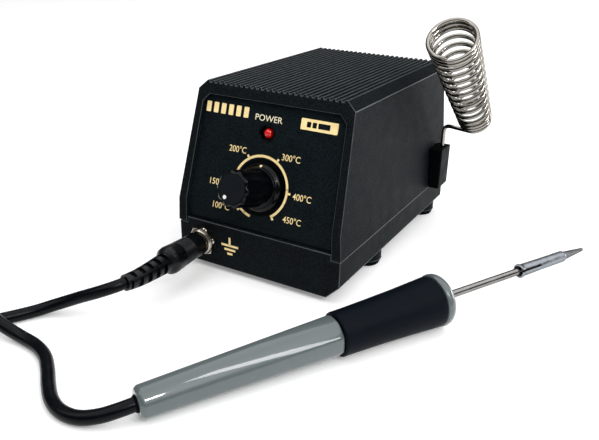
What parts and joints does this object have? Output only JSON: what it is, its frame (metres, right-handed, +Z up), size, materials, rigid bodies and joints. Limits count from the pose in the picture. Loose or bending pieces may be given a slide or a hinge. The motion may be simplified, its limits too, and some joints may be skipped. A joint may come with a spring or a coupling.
{
  "type": "soldering iron station",
  "caption": "Temperature-controlled soldering station: ribbed black case with tilted dial panel, plug-in soldering iron and spring-wire iron holder.",
  "frame": {"origin": "on the table, in the middle of the footprint of everything but the free cord", "axes": "+Z up; +Y from the control panel towards the rear; +X to the right seen from the front"},
  "size_m": [0.3091, 0.2928, 0.1265],
  "materials": {
    "abs": "black fine-textured moulded plastic",
    "panel": "black satin plastic",
    "rubber": "matte black rubber",
    "gloss": "glossy black moulded plastic",
    "cord": "black flexible cord jacket, slightly glossy",
    "grey": "glossy grey-green moulded plastic",
    "steel": "bright drawn steel",
    "nickel": "nickel plate",
    "aluminium": "satin aluminium",
    "iron": "varnished iron laminations",
    "gold": "gold printed plate",
    "red": "clear red lens",
    "copper": "enamelled copper wire",
    "board": "green circuit board",
    "ceramic": "white ceramic rod"
  },
  "bodies": {
    "case": {"nameplate": "gold", "lamp_holder": "gloss", "lamp_lens": "red", "pot_body": "steel", "pot_nut": "nickel", "rear_panel": "aluminium", "inlet_housing": "panel", "inlet_pin_line": "nickel", "inlet_pin_neutral": "nickel", "inlet_pin_earth": "nickel", "rocker_housing": "panel", "base_tray": "abs", "foot_front_left": "rubber", "foot_front_right": "rubber", "foot_rear_left": "rubber", "foot_rear_right": "rubber", "case_screw_1": "steel", "case_screw_2": "steel", "case_screw_3": "steel", "case_screw_4": "steel", "front_panel": "panel", "jack_body": "nickel", "jack_nut": "nickel", "top_cover": "abs", "holder_bracket": "rubber", "holder_screw_1": "steel", "holder_screw_2": "steel", "transformer_core": "iron", "transformer_bobbin": "panel", "transformer_winding": "copper", "transformer_strap": "steel", "transformer_screw_1": "steel", "transformer_screw_2": "steel", "control_board": "board", "board_heatsink": "aluminium", "board_triac": "panel", "board_capacitor": "gloss"},
    "knob": {"knob_body": "gloss", "knob_cap": "panel", "pot_shaft": "aluminium"},
    "cordset": {"plug_body": "cord", "plug_shell": "nickel", "plug_insert": "panel", "plug_pin_1": "nickel", "plug_pin_2": "nickel", "plug_pin_3": "nickel", "plug_relief": "cord", "cord_lead_plug": "cord", "cord_lead_iron": "cord", "cord_coil": "cord", "cord_tie": "rubber"},
    "iron": {"iron_handle": "grey", "iron_bush": "rubber", "iron_grip": "rubber", "iron_collar": "grey", "heater_tube": "steel", "heater_element": "ceramic"},
    "tip": {"iron_tip": "steel"},
    "holder": {"holder_wire": "steel"},
    "rocker_arm": {"rocker": "gloss"}
  },
  "joints": [
    {"name": "knob_turn", "type": "hinge", "parent": "case", "child": "knob", "pos_m": [-0.04629, -0.01265, 0.04982], "axis": [0, 0.9589, -0.2837], "range_deg": [-8, 292]},
    {"name": "plug_pull", "type": "slide", "parent": "case", "child": "cordset", "axis": [0, -1, 0], "range_m": [0, 0.015]},
    {"name": "iron_lift", "type": "slide", "parent": "cordset", "child": "iron", "axis": [0, 0, 1], "range_m": [0, 0.08]},
    {"name": "tip_pull", "type": "slide", "parent": "iron", "child": "tip", "axis": [0.5087, 0.8601, 0.0383], "range_m": [0, 0.023]},
    {"name": "holder_swivel", "type": "hinge", "parent": "case", "child": "holder", "pos_m": [0.00491, 0.10658, 0.04], "axis": [0, 0, 1], "range_deg": [-20, 75]},
    {"name": "rocker_tilt", "type": "hinge", "parent": "case", "child": "rocker_arm", "pos_m": [-0.02729, 0.12032, 0.05641], "axis": [1, 0, 0], "range_deg": [0, 16]}
  ]
}
